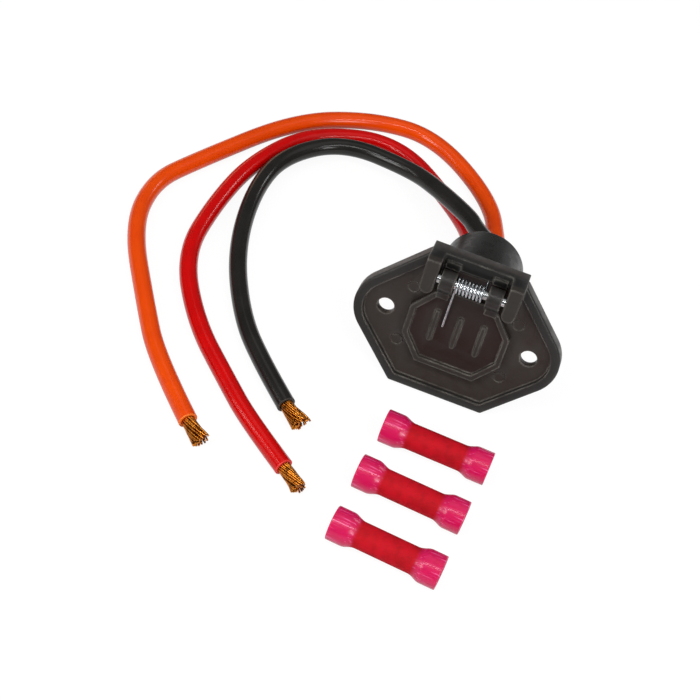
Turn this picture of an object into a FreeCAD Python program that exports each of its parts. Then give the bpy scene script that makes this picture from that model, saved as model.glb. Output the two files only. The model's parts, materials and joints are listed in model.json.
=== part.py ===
import FreeCAD, Part

import math
import os

# Three-contact trailer wiring receptacle with a sprung lid, three thick copper leads and three
# loose butt splices, all lying on a table. Millimetres. +X runs along the lid's hinge, +Y goes
# back from the flange towards the leads and +Z is up. The origin is the middle of the two screw
# holes, on the mounting face of the flange.
#
# The receptacle is drawn upright, with its mounting face on Y = 0, and is then leaned back until
# it rests on the lower edge of that face and on the rear rim of its barrel.

# ---- flange -------------------------------------------------------------------------------------
FLANGE_HEIGHT = 52.4
FLANGE_EDGE_WIDTH = 33.6
FLANGE_POINT_WIDTH = 82.5
FLANGE_SIDE_RADIUS = 14.0
FLANGE_CORNER_RADIUS = 1.2
FLOOR_THICKNESS = 3.0
LIP_HEIGHT = 2.0
LIP_WIDTH = 3.3
LIP_ROUNDING = 0.8
SCREW_SPACING = 50.8
SCREW_HOLE_RADIUS = 2.9
EJECTOR_MARK_X = 18.4
EJECTOR_MARK_Z = 10.8
EJECTOR_MARK_RADIUS = 2.0
EJECTOR_MARK_DEPTH = 0.2

# ---- hinge hood on the flange -------------------------------------------------------------------
HOOD_WIDTH = 33.0
HOOD_TOP = 28.7
CHEEK_WIDTH = 4.8
CHEEK_REACH = 11.0
CHEEK_TIP = 16.2
CHEEK_ROUNDING = 0.5
HOOD_WALL_REACH = 3.0
HOOD_WALL_HEIGHT = 4.6
HOOD_PAD_REACH = 4.2
HOOD_PAD_HEIGHT = 2.5

# ---- socket and barrel --------------------------------------------------------------------------
BARREL_RADIUS = 14.45
BARREL_WALL = 1.75
BARREL_LENGTH = 45.2
BARREL_ROUNDING = 0.6
BARREL_SEAT_DEPTH = 1.0
SOCKET_RADIUS = 10.6
SOCKET_DEPTH = 16.0
KEYWAY_WIDTH = 2.5
KEYWAY_DEPTH = 0.7
SEATED_CLEARANCE = 0.05

# ---- contacts -----------------------------------------------------------------------------------
CONTACT_CIRCLE_RADIUS = 6.5
CONTACT_RADIUS = 3.0
CONTACT_BORE_RADIUS = 2.3
CONTACT_BORE_DEPTH = 11.0
CONTACT_RECESS = 1.2
INSERT_FLOOR = 14.0
COLLAR_RADIUS = 3.7
COLLAR_LENGTH = 1.0
CRIMP_RADIUS = 2.8
CRIMP_LENGTH = 6.0

# ---- rear seal ----------------------------------------------------------------------------------
SEAL_INSET = 1.2
SEAL_LENGTH = 6.2
SEAL_RIB_COUNT = 3
SEAL_RIB_HEIGHT = 0.5
SEAL_RIB_LENGTH = 1.0

# ---- lid ----------------------------------------------------------------------------------------
LID_HEIGHT = 29.0
LID_WIDTH = 35.0
LID_EDGE_WIDTH = 20.8
LID_SIDE_LENGTH = 11.0
LID_GAP = 0.6
LID_PANEL_THICKNESS = 1.0
LID_RIM_HEIGHT = 1.4
LID_RIM_WIDTH = 2.1
LID_RIM_ROUNDING = 0.35
RIB_SPACING = 8.1
RIB_WIDTH = 1.9
RIB_LENGTH = 12.4
RIB_CENTRE_Z = 0.8
RIB_HEIGHT = 1.2
RIB_ROUNDING = 0.4
LID_SEAL_OUTER_RADIUS = 13.6
LID_SEAL_INNER_RADIUS = 11.2
LID_SEAL_GAP = 0.1

# ---- hinge --------------------------------------------------------------------------------------
PIN_RADIUS = 1.5
PIN_Z = 21.2
PIN_REACH = 7.2
PIN_END_RECESS = 0.4
PIN_SEAT_CLEARANCE = 0.02
KNUCKLE_RADIUS = 3.7
KNUCKLE_WIDTH = 5.0
KNUCKLE_SIDE_GAP = 1.1
KNUCKLE_BORE_CLEARANCE = 0.08
STRAP_WIDTH = 4.4
STRAP_HEIGHT = 3.6

# ---- lid spring ---------------------------------------------------------------------------------
SPRING_WIRE = 0.85
SPRING_MEAN_RADIUS = 2.65
SPRING_TURNS = 9
SPRING_PITCH = 1.05
SPRING_END_GAP = 0.05
SPRING_LEG_TIP_Z = 1.4
SPRING_TAIL_Z = 25.6
SPRING_REST_GAP = 0.05

# ---- leads --------------------------------------------------------------------------------------
LEAD_DIAMETER = 6.5
LEAD_SEAL_CLEARANCE = 0.05
STRIP_LENGTH = 10.0
STRAND_CIRCLE_RADIUS = 1.55
STRAND_BUNDLE_RADIUS = 0.8
STRAND_CORE_RADIUS = 1.6
STRAND_BUNDLES = 7

# ---- butt splices -------------------------------------------------------------------------------
SPLICE_MIDDLE_RADIUS = 4.5
SPLICE_MIDDLE_LENGTH = 20.0
SPLICE_FLARE_RADIUS = 5.75
SPLICE_FLARE_LENGTH = 6.5
SPLICE_CONE_LENGTH = 2.3
SPLICE_WALL = 1.0
SPLICE_MOUTH_ROUNDING = 0.3
FERRULE_BORE_RADIUS = 2.45
FERRULE_CLEARANCE = 0.05

# Where each splice lies on the table: its middle and its turn about +Z in degrees.
SPLICE_PLACES = [(7.1, -35.8, -2.7), (5.0, -58.0, -4.6), (3.9, -81.2, -5.2)]

# ---- what follows from the sizes above ----------------------------------------------------------
FRONT_FACE = -FLOOR_THICKNESS
LIP_FACE = FRONT_FACE - LIP_HEIGHT
BARREL_FRONT = -BARREL_SEAT_DEPTH
HALF_HEIGHT = FLANGE_HEIGHT / 2
HOOD_HALF_WIDTH = HOOD_WIDTH / 2
CHEEK_INSIDE = HOOD_HALF_WIDTH - CHEEK_WIDTH
BARREL_BORE = BARREL_RADIUS - BARREL_WALL
INSERT_BACK = SOCKET_DEPTH + INSERT_FLOOR
CRIMP_FRONT = INSERT_BACK + COLLAR_LENGTH
CRIMP_BACK = CRIMP_FRONT + CRIMP_LENGTH
SEAL_BACK = BARREL_LENGTH - SEAL_INSET
SEAL_FRONT = SEAL_BACK - SEAL_LENGTH
LEAD_RADIUS = LEAD_DIAMETER / 2
KNUCKLE_OUTSIDE = CHEEK_INSIDE - KNUCKLE_SIDE_GAP
KNUCKLE_INSIDE = KNUCKLE_OUTSIDE - KNUCKLE_WIDTH
STRAP_INSIDE = KNUCKLE_OUTSIDE - STRAP_WIDTH
LID_FACE_REACH = LID_GAP + LID_PANEL_THICKNESS
LID_RIM_REACH = LID_FACE_REACH + LID_RIM_HEIGHT
STRAP_REACH = LID_GAP + STRAP_HEIGHT
FERRULE_RADIUS = SPLICE_MIDDLE_RADIUS - SPLICE_WALL - FERRULE_CLEARANCE

RIM_REACH = BARREL_LENGTH - BARREL_ROUNDING
RIM_DROP = HALF_HEIGHT - BARREL_RADIUS + BARREL_ROUNDING
LEAN = math.atan(RIM_DROP / RIM_REACH) - math.asin(
    BARREL_ROUNDING / math.hypot(RIM_DROP, RIM_REACH)
)
TABLE = -HALF_HEIGHT * math.cos(LEAN)
LYING = TABLE + LEAD_RADIUS

# The contacts sit on a circle, one on top and two below. Each lead leaves the seal behind its own.
CONTACT_ANGLES = {"black": 90.0, "red": 210.0, "orange": 330.0}

# Each lead's route after the seal: how far it first runs on straight, and then the points where
# it turns, in plan, with its rise above the height at which it lies on the table.
LEAD_STRAIGHT = {"orange": 22.0, "red": 20.0, "black": 14.0}
LEAD_POINTS = {
    "orange": [
        (-6, 88, 0), (-29, 109, 0), (-59, 113, 0), (-89, 95, 0), (-109, 66, 0),
        (-125, 33, 0), (-117, 3, 0), (-99, -28, 0), (-84, -49, 0), (-70.6, -60.6, 0),
    ],
    "red": [
        (-22, 83, 0), (-46, 101, 0), (-76, 96, 0), (-94, 71, 0), (-100, 37, 0),
        (-98, 4, 0), (-83, -21, 0), (-66, -41, 0), (-51, -54, 0), (-37.7, -64.2, 0),
    ],
    "black": [
        (-11, 69, 12.5), (-25, 77, 9.5), (-41, 85, 5), (-62, 92, 0), (-84, 77, 0),
        (-89, 46, 0), (-83, 16, 0), (-71, -10, 0), (-58, -27, 0), (-44.5, -39.5, 0),
    ],
}
RUN_SHARE = 0.45

VECTOR = FreeCAD.Vector
ALONG_X = VECTOR(1, 0, 0)
ALONG_Y = VECTOR(0, 1, 0)
ALONG_Z = VECTOR(0, 0, 1)


# ---- small helpers ------------------------------------------------------------------------------
def out(reach):
    """Y of a plane that stands a given reach out from the flange's floor."""
    return FRONT_FACE - reach


def block(x0, x1, y0, y1, z0, z1):
    """Box between two corners."""
    return Part.makeBox(x1 - x0, y1 - y0, z1 - z0, VECTOR(x0, y0, z0))


def rod_y(radius, y0, y1, x=0.0, z=0.0):
    """Round bar along Y."""
    return Part.makeCylinder(radius, y1 - y0, VECTOR(x, y0, z), ALONG_Y)


def rod_x(radius, x0, x1, y, z):
    """Round bar along X."""
    return Part.makeCylinder(radius, x1 - x0, VECTOR(x0, y, z), ALONG_X)


def ring_y(outer, inner, y0, y1):
    """Tube along Y about the barrel's axis."""
    return rod_y(outer, y0, y1).cut(rod_y(inner, y0, y1))


def prism_y(corners, y0, y1):
    """Extrude a closed outline of (x, z) corners from y0 to y1."""
    points = [VECTOR(x, y0, z) for x, z in corners]
    outline = Part.makePolygon(points + points[:1])
    return Part.Face(outline).extrude(VECTOR(0, y1 - y0, 0))


def prism_x(corners, x0, x1):
    """Extrude a closed outline of (y, z) corners from x0 to x1."""
    points = [VECTOR(x0, y, z) for y, z in corners]
    outline = Part.makePolygon(points + points[:1])
    return Part.Face(outline).extrude(VECTOR(x1 - x0, 0, 0))


def inset(corners, distance):
    """Move each side of a convex outline inwards by a distance."""
    count = len(corners)
    turn = sum(
        corners[i][0] * corners[(i + 1) % count][1] - corners[(i + 1) % count][0] * corners[i][1]
        for i in range(count)
    )
    side = math.copysign(distance, turn)
    moved = []
    for i in range(count):
        before, here, after = corners[i - 1], corners[i], corners[(i + 1) % count]
        d1 = VECTOR(here[0] - before[0], here[1] - before[1], 0).normalize()
        d2 = VECTOR(after[0] - here[0], after[1] - here[1], 0).normalize()
        bisector = VECTOR(-d1.y - d2.y, d1.x + d2.x, 0)
        reach = side / (1 + d1.dot(d2))
        moved.append((here[0] + bisector.x * reach, here[1] + bisector.y * reach))
    return moved


def edges_on_y(shape, y):
    """The edges that lie in the plane at y."""
    return [e for e in shape.Edges if all(abs(v.Y - y) < 1e-6 for v in e.Vertexes)]


def edges_along_y(shape, x, z):
    """The straight edges along Y through (x, z)."""
    return [
        e for e in shape.Edges
        if len(e.Vertexes) == 2
        and all(abs(v.X - x) < 1e-6 and abs(v.Z - z) < 1e-6 for v in e.Vertexes)
    ]


def rounded_prism(corners, radii, y0, y1):
    """Prism along Y whose corners are rounded, each by its own radius."""
    solid = prism_y(corners, y0, y1)
    for (x, z), radius in zip(corners, radii):
        solid = solid.makeFillet(radius, edges_along_y(solid, x, z))
    return solid


def fuse_all(shapes):
    """Join solids into one."""
    return shapes[0].multiFuse(shapes[1:]).removeSplitter()


def leaned(shape):
    """Lean an upright piece of the receptacle back onto the table."""
    moved = shape.copy()
    moved.rotate(VECTOR(0, 0, 0), ALONG_X, -math.degrees(LEAN))
    return moved


def leaned_point(point):
    """Lean a point of the upright receptacle back."""
    return FreeCAD.Rotation(ALONG_X, -math.degrees(LEAN)).multVec(point)


# ---- flange with its hinge hood -----------------------------------------------------------------
def flange_corners():
    """Six-cornered outline with points at both sides."""
    half_edge = FLANGE_EDGE_WIDTH / 2
    half_point = FLANGE_POINT_WIDTH / 2
    return [
        (-half_edge, -HALF_HEIGHT), (half_edge, -HALF_HEIGHT), (half_point, 0),
        (half_edge, HALF_HEIGHT), (-half_edge, HALF_HEIGHT), (-half_point, 0),
    ]


def make_cheek(side):
    """One cheek of the hood: a tongue with a round lower end that carries the hinge pin."""
    radius = CHEEK_WIDTH / 2
    middle = side * (HOOD_HALF_WIDTH - radius)
    front = out(CHEEK_REACH)
    straight = block(middle - radius, middle + radius, front, 0, CHEEK_TIP + radius, HOOD_TOP)
    tip = rod_y(radius, front, FRONT_FACE, middle, CHEEK_TIP + radius)
    cheek = fuse_all([straight, tip])
    return cheek.makeFillet(CHEEK_ROUNDING, edges_on_y(cheek, front))


def make_pad(side):
    """Thicker spot of the hood's wall above a knuckle."""
    near, far = sorted((side * KNUCKLE_INSIDE, side * KNUCKLE_OUTSIDE))
    bottom = HOOD_TOP - HOOD_WALL_HEIGHT
    return block(near, far, out(HOOD_PAD_REACH), 0, bottom, bottom + HOOD_PAD_HEIGHT)


def socket_space(y0, y1):
    """Space for the plug's nose and the key below it."""
    half_key = KEYWAY_WIDTH / 2
    keyway = block(-half_key, half_key, y0, y1, -SOCKET_RADIUS - KEYWAY_DEPTH, 0)
    return rod_y(SOCKET_RADIUS, y0, y1).fuse(keyway)


def make_flange():
    """Flange plate with its lip, hood, socket mouth and screw holes."""
    corners = flange_corners()
    radii = [
        FLANGE_CORNER_RADIUS, FLANGE_CORNER_RADIUS, FLANGE_SIDE_RADIUS,
        FLANGE_CORNER_RADIUS, FLANGE_CORNER_RADIUS, FLANGE_SIDE_RADIUS,
    ]
    plate = rounded_prism(corners, radii, LIP_FACE, 0)
    plate = plate.makeFillet(LIP_ROUNDING, edges_on_y(plate, LIP_FACE))
    pocket_radii = [max(radius - LIP_WIDTH, LIP_ROUNDING) for radius in radii]
    pocket = rounded_prism(inset(corners, LIP_WIDTH), pocket_radii, LIP_FACE, FRONT_FACE)
    plate = plate.cut(pocket)

    wall_bottom = HOOD_TOP - HOOD_WALL_HEIGHT
    wall = block(-CHEEK_INSIDE, CHEEK_INSIDE, out(HOOD_WALL_REACH), 0, wall_bottom, HOOD_TOP)
    pads = [make_pad(side) for side in (-1, 1)]
    body = fuse_all([plate, wall, make_cheek(-1), make_cheek(1)] + pads)

    barrel_seat = rod_y(BARREL_RADIUS + SEATED_CLEARANCE, BARREL_FRONT, 0)
    cuts = [socket_space(FRONT_FACE, BARREL_FRONT), barrel_seat]
    for side in (-1, 1):
        cuts.append(rod_y(SCREW_HOLE_RADIUS, FRONT_FACE, 0, side * SCREW_SPACING / 2))
        for level in (-1, 1):
            cuts.append(rod_y(
                EJECTOR_MARK_RADIUS, FRONT_FACE, FRONT_FACE + EJECTOR_MARK_DEPTH,
                side * EJECTOR_MARK_X, level * EJECTOR_MARK_Z,
            ))
    seat = PIN_RADIUS + PIN_SEAT_CLEARANCE
    cuts.append(rod_x(seat, -HOOD_HALF_WIDTH, HOOD_HALF_WIDTH, out(PIN_REACH), PIN_Z))
    for cut in cuts:
        body = body.cut(cut)
    return body


# ---- what the barrel holds ----------------------------------------------------------------------
def make_barrel():
    """Round shell that holds the socket insert and is seated in the flange's back."""
    shell = ring_y(BARREL_RADIUS, BARREL_BORE, BARREL_FRONT, BARREL_LENGTH)
    rim = [
        e for e in edges_on_y(shell, BARREL_LENGTH)
        if abs(e.Curve.Radius - BARREL_RADIUS) < 1e-6
    ]
    return shell.makeFillet(BARREL_ROUNDING, rim)


def contact_place(colour):
    """X and Z of a contact's axis."""
    angle = math.radians(CONTACT_ANGLES[colour])
    return CONTACT_CIRCLE_RADIUS * math.cos(angle), CONTACT_CIRCLE_RADIUS * math.sin(angle)


def make_insert():
    """Insulating cup that takes the plug's nose and holds the three contacts in its floor."""
    body = rod_y(BARREL_BORE - SEATED_CLEARANCE, BARREL_FRONT, INSERT_BACK)
    body = body.cut(socket_space(BARREL_FRONT, SOCKET_DEPTH))
    for colour in CONTACT_ANGLES:
        x, z = contact_place(colour)
        mouth = rod_y(CONTACT_BORE_RADIUS, SOCKET_DEPTH, INSERT_BACK, x, z)
        seat_front = SOCKET_DEPTH + CONTACT_RECESS
        seat = rod_y(CONTACT_RADIUS + SEATED_CLEARANCE, seat_front, INSERT_BACK, x, z)
        body = body.cut(mouth).cut(seat)
    return body


def make_contact(colour):
    """Turned contact: a socket in front, a collar behind the insert and a closed crimp."""
    x, z = contact_place(colour)
    front = SOCKET_DEPTH + CONTACT_RECESS
    body = fuse_all([
        rod_y(CONTACT_RADIUS, front, INSERT_BACK, x, z),
        rod_y(COLLAR_RADIUS, INSERT_BACK, CRIMP_FRONT, x, z),
        rod_y(CRIMP_RADIUS, CRIMP_FRONT, CRIMP_BACK, x, z),
    ])
    return body.cut(rod_y(CONTACT_BORE_RADIUS, front, front + CONTACT_BORE_DEPTH, x, z))


def make_wire_seal():
    """Rubber plug with ribs that grips the three leads at the rear of the barrel."""
    outer = BARREL_BORE - SEATED_CLEARANCE
    pieces = [rod_y(outer - SEAL_RIB_HEIGHT, SEAL_FRONT, SEAL_BACK)]
    pitch = (SEAL_LENGTH - SEAL_RIB_LENGTH) / (SEAL_RIB_COUNT - 1)
    for i in range(SEAL_RIB_COUNT):
        start = SEAL_FRONT + i * pitch
        pieces.append(rod_y(outer, start, start + SEAL_RIB_LENGTH))
    body = fuse_all(pieces)
    for colour in CONTACT_ANGLES:
        x, z = contact_place(colour)
        body = body.cut(rod_y(LEAD_RADIUS + LEAD_SEAL_CLEARANCE, SEAL_FRONT, SEAL_BACK, x, z))
    return body


# ---- lid ----------------------------------------------------------------------------------------
def lid_corners():
    """Eight-cornered outline of the lid."""
    x0, x1 = LID_EDGE_WIDTH / 2, LID_WIDTH / 2
    z0, z1 = LID_SIDE_LENGTH / 2, LID_HEIGHT / 2
    return [(-x0, -z1), (x0, -z1), (x1, -z0), (x1, z0), (x0, z1), (-x0, z1), (-x1, z0), (-x1, -z0)]


def make_rib(x):
    """Raised bar with round ends on the lid's face."""
    radius = RIB_WIDTH / 2
    half_run = RIB_LENGTH / 2 - radius
    top, base = out(LID_FACE_REACH + RIB_HEIGHT), out(LID_FACE_REACH)
    bar = fuse_all([
        block(x - radius, x + radius, top, base, RIB_CENTRE_Z - half_run, RIB_CENTRE_Z + half_run),
        rod_y(radius, top, base, x, RIB_CENTRE_Z - half_run),
        rod_y(radius, top, base, x, RIB_CENTRE_Z + half_run),
    ])
    return bar.makeFillet(RIB_ROUNDING, edges_on_y(bar, top))


def make_hinge_arm(side):
    """Strap and knuckle that join the lid to its pin."""
    pin_y, strap_y, back_y = out(PIN_REACH), out(STRAP_REACH), out(LID_GAP)
    web_drop = PIN_REACH - STRAP_REACH
    foot = LID_HEIGHT / 2 - LID_RIM_WIDTH
    below_knuckle = PIN_Z - KNUCKLE_RADIUS
    profile = [
        (back_y, foot), (back_y, PIN_Z), (pin_y, PIN_Z), (pin_y, below_knuckle),
        (strap_y, below_knuckle - web_drop), (strap_y, foot),
    ]
    near, far = sorted((side * STRAP_INSIDE, side * KNUCKLE_OUTSIDE))
    strap = prism_x(profile, near, far)
    near, far = sorted((side * KNUCKLE_INSIDE, side * KNUCKLE_OUTSIDE))
    knuckle = rod_x(KNUCKLE_RADIUS, near, far, pin_y, PIN_Z)
    return fuse_all([strap, knuckle])


def make_lid():
    """Tray-shaped lid with its rim, ribs and hinge arms."""
    outline = lid_corners()
    plate = prism_y(outline, out(LID_RIM_REACH), out(LID_GAP))
    plate = plate.makeFillet(LID_RIM_ROUNDING, edges_on_y(plate, out(LID_RIM_REACH)))
    hollow = prism_y(inset(outline, LID_RIM_WIDTH), out(LID_RIM_REACH), out(LID_FACE_REACH))
    gap = block(
        -STRAP_INSIDE, STRAP_INSIDE, out(LID_RIM_REACH), out(LID_FACE_REACH), 0, LID_HEIGHT / 2,
    )
    tray = plate.cut(hollow).cut(gap)
    ribs = [make_rib(i * RIB_SPACING) for i in (-1, 0, 1)]
    body = fuse_all([tray, make_hinge_arm(-1), make_hinge_arm(1)] + ribs)
    bore = PIN_RADIUS + KNUCKLE_BORE_CLEARANCE
    return body.cut(rod_x(bore, -KNUCKLE_OUTSIDE, KNUCKLE_OUTSIDE, out(PIN_REACH), PIN_Z))


def make_lid_seal():
    """Flat rubber ring under the lid that closes round the socket's mouth."""
    return ring_y(
        LID_SEAL_OUTER_RADIUS, LID_SEAL_INNER_RADIUS, out(LID_GAP), out(LID_SEAL_GAP),
    )


# ---- hinge pin and spring -----------------------------------------------------------------------
def make_pin():
    """Straight steel pin through both cheeks and both knuckles."""
    half = HOOD_HALF_WIDTH - PIN_END_RECESS
    return rod_x(PIN_RADIUS, -half, half, out(PIN_REACH), PIN_Z)


def tangent_angle(y, z, side):
    """Angle about the pin at which a straight leg from (y, z) touches the coil."""
    dy, dz = y - out(PIN_REACH), z - PIN_Z
    spread = math.acos(SPRING_MEAN_RADIUS / math.hypot(dy, dz))
    return math.atan2(dz, dy) + side * spread


def on_coil(x, angle):
    """Point on the coil's centre line."""
    return VECTOR(
        x,
        out(PIN_REACH) + SPRING_MEAN_RADIUS * math.cos(angle),
        PIN_Z + SPRING_MEAN_RADIUS * math.sin(angle),
    )


def straight_wire(start, end):
    """Straight piece of spring wire."""
    along = end - start
    return Part.makeCylinder(SPRING_WIRE / 2, along.Length, start, along)


def make_spring():
    """Torsion spring: its long leg bears on the lid and its short tail on the hood's wall."""
    wire_radius = SPRING_WIRE / 2
    leg_y = out(LID_FACE_REACH + wire_radius + SPRING_REST_GAP)
    tail_y = out(HOOD_WALL_REACH + wire_radius + SPRING_REST_GAP)
    first = tangent_angle(leg_y, SPRING_LEG_TIP_Z, 1)
    last = tangent_angle(tail_y, SPRING_TAIL_Z, -1)
    swept = (last - first) % math.tau + math.tau * (SPRING_TURNS - 1)
    left = -KNUCKLE_INSIDE + wire_radius + SPRING_END_GAP
    length = SPRING_PITCH * swept / math.tau
    path = Part.makeHelix(SPRING_PITCH, length, SPRING_MEAN_RADIUS)
    section = Part.Wire(Part.makeCircle(wire_radius, VECTOR(SPRING_MEAN_RADIUS, 0, 0), ALONG_Y))
    coil = Part.Wire(path.Edges).makePipeShell([section], True, True)
    coil.Placement = FreeCAD.Placement(
        VECTOR(left, out(PIN_REACH), PIN_Z),
        FreeCAD.Rotation(ALONG_X, math.degrees(first) + 90).multiply(
            FreeCAD.Rotation(ALONG_Y, 90)
        ),
    )
    leg = straight_wire(on_coil(left, first), VECTOR(left, leg_y, SPRING_LEG_TIP_Z))
    right = left + length
    tail = straight_wire(on_coil(right, last), VECTOR(right, tail_y, SPRING_TAIL_Z))
    return coil.fuse([leg, tail])


# ---- leads --------------------------------------------------------------------------------------
def lead_route(colour):
    """Corners of a lead's route, from the seal to the end of its insulation."""
    x, z = contact_place(colour)
    corners = [
        leaned_point(VECTOR(x, SEAL_BACK, z)),
        leaned_point(VECTOR(x, SEAL_BACK + LEAD_STRAIGHT[colour], z)),
    ]
    for px, py, rise in LEAD_POINTS[colour]:
        corners.append(VECTOR(px, py, LYING + rise))
    return corners


def route_edges(corners, start):
    """Straight runs joined by tangent arcs. Gives the edges, the arc radii and the length."""
    edges, radii, length = [], [], 0.0
    here = start
    for before, corner, after in zip(corners, corners[1:], corners[2:]):
        into = corner - before
        away = after - corner
        turn = into.getAngle(away)
        reach = RUN_SHARE * min(into.Length, away.Length)
        radius = reach / math.tan(turn / 2)
        d_in, d_out = into.normalize(), away.normalize()
        begin = corner - d_in * reach
        end = corner + d_out * reach
        inwards = (d_out - d_in).normalize()
        middle = corner + inwards * (radius / math.cos(turn / 2) - radius)
        edges.append(Part.LineSegment(here, begin).toShape())
        edges.append(Part.Arc(begin, middle, end).toShape())
        length += (begin - here).Length + radius * turn
        radii.append(radius)
        here = end
    edges.append(Part.LineSegment(here, corners[-1]).toShape())
    length += (corners[-1] - here).Length
    return edges, radii, length


def make_lead(colour):
    """Insulated lead from the back of its contact to where it is stripped."""
    x, z = contact_place(colour)
    start = leaned_point(VECTOR(x, CRIMP_BACK, z))
    edges, radii, length = route_edges(lead_route(colour), start)
    path = Part.Wire(edges)
    along = leaned_point(ALONG_Y)
    section = Part.Wire(Part.makeCircle(LEAD_RADIUS, start, along))
    lead = path.makePipeShell([section], True, False)
    expected = math.pi * LEAD_RADIUS ** 2 * length
    inside = SEAL_BACK - CRIMP_BACK
    print(
        colour, "lead: free length %.1f mm," % (length - inside),
        "arc radii", [round(radius, 1) for radius in radii],
        "volume over section times length %.4f" % (lead.Volume / expected),
    )
    return lead


def make_strands(colour):
    """Bare strands past the insulation: a core with bunches of strands round it."""
    corners = lead_route(colour)
    end = corners[-1]
    along = (end - corners[-2]).normalize()
    across = VECTOR(-along.y, along.x, 0)
    pieces = [Part.makeCylinder(STRAND_CORE_RADIUS, STRIP_LENGTH, end, along)]
    for i in range(STRAND_BUNDLES):
        angle = math.tau * i / STRAND_BUNDLES
        offset = across * math.cos(angle) + ALONG_Z * math.sin(angle)
        base = end + offset * STRAND_CIRCLE_RADIUS
        pieces.append(Part.makeCylinder(STRAND_BUNDLE_RADIUS, STRIP_LENGTH, base, along))
    return fuse_all(pieces)


# ---- butt splices -------------------------------------------------------------------------------
def splice_side(gap):
    """Half of the sleeve's outline as (x, radius), a given gap inside its outer surface."""
    half_middle = SPLICE_MIDDLE_LENGTH / 2
    half_cone = half_middle + SPLICE_CONE_LENGTH
    half_length = half_cone + SPLICE_FLARE_LENGTH
    return [
        (-half_length, SPLICE_FLARE_RADIUS - gap), (-half_cone, SPLICE_FLARE_RADIUS - gap),
        (-half_middle, SPLICE_MIDDLE_RADIUS - gap), (half_middle, SPLICE_MIDDLE_RADIUS - gap),
        (half_cone, SPLICE_FLARE_RADIUS - gap), (half_length, SPLICE_FLARE_RADIUS - gap),
    ]


def turned_x(profile):
    """Solid of revolution about X from an outline of (x, radius)."""
    outline = [(profile[0][0], 0)] + profile + [(profile[-1][0], 0)]
    points = [VECTOR(x, radius, 0) for x, radius in outline]
    face = Part.Face(Part.makePolygon(points + points[:1]))
    return face.revolve(VECTOR(0, 0, 0), ALONG_X, 360)


def make_sleeve():
    """Insulating sleeve with a flared mouth at each end."""
    body = turned_x(splice_side(0)).cut(turned_x(splice_side(SPLICE_WALL)))
    half_length = SPLICE_MIDDLE_LENGTH / 2 + SPLICE_CONE_LENGTH + SPLICE_FLARE_LENGTH
    mouths = [
        e for e in body.Edges
        if abs(abs(e.CenterOfMass.x) - half_length) < 1e-6 and len(e.Vertexes) == 1
        and abs(e.Curve.Radius - SPLICE_FLARE_RADIUS) < 1e-6
    ]
    return body.makeFillet(SPLICE_MOUTH_ROUNDING, mouths)


def make_ferrule():
    """Metal tube inside a sleeve that takes a stripped lead from each end."""
    half = SPLICE_MIDDLE_LENGTH / 2
    tube = rod_x(FERRULE_RADIUS, -half, half, 0, 0)
    return tube.cut(rod_x(FERRULE_BORE_RADIUS, -half, half, 0, 0))


def laid(shape, place):
    """Lay a splice on the table."""
    x, y, turn = place
    moved = shape.copy()
    moved.Placement = FreeCAD.Placement(
        VECTOR(x, y, TABLE + SPLICE_FLARE_RADIUS), FreeCAD.Rotation(ALONG_Z, turn),
    )
    return moved


# ---- the whole part -----------------------------------------------------------------------------
def make_nodes():
    """Every piece by its node name."""
    nodes = {
        "front_flange": leaned(make_flange()),
        "rear_barrel": leaned(make_barrel()),
        "socket_insert": leaned(make_insert()),
        "wire_seal": leaned(make_wire_seal()),
        "lid": leaned(make_lid()),
        "lid_seal": leaned(make_lid_seal()),
        "hinge_pin": leaned(make_pin()),
        "torsion_spring": leaned(make_spring()),
    }
    for colour in CONTACT_ANGLES:
        nodes["contact_" + colour] = leaned(make_contact(colour))
        nodes["lead_" + colour] = make_lead(colour)
        nodes["strands_" + colour] = make_strands(colour)
    sleeve, ferrule = make_sleeve(), make_ferrule()
    for number, place in enumerate(SPLICE_PLACES, start=1):
        nodes["splice_sleeve_%d" % number] = laid(sleeve, place)
        nodes["splice_ferrule_%d" % number] = laid(ferrule, place)
    return nodes


def main():
    """Write one STEP file for each node."""
    os.makedirs("parts", exist_ok=True)
    for name, shape in make_nodes().items():
        shape.exportStep("parts/" + name + ".step")
        box = shape.BoundBox
        print(
            "%-18s valid %s solids %d volume %.1f" % (
                name, shape.isValid(), len(shape.Solids), shape.Volume,
            ),
            "box X %.1f..%.1f Y %.1f..%.1f Z %.1f..%.1f" % (
                box.XMin, box.XMax, box.YMin, box.YMax, box.ZMin, box.ZMax,
            ),
        )


main()
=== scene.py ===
"""Looks of a trailer wiring receptacle with a sprung lid, its three leads and three butt splices."""

import json
import logging
import math
import random
from dataclasses import dataclass, field
from enum import Enum
from typing import Any

import bmesh
import bpy
from mathutils import Matrix, Vector


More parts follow.
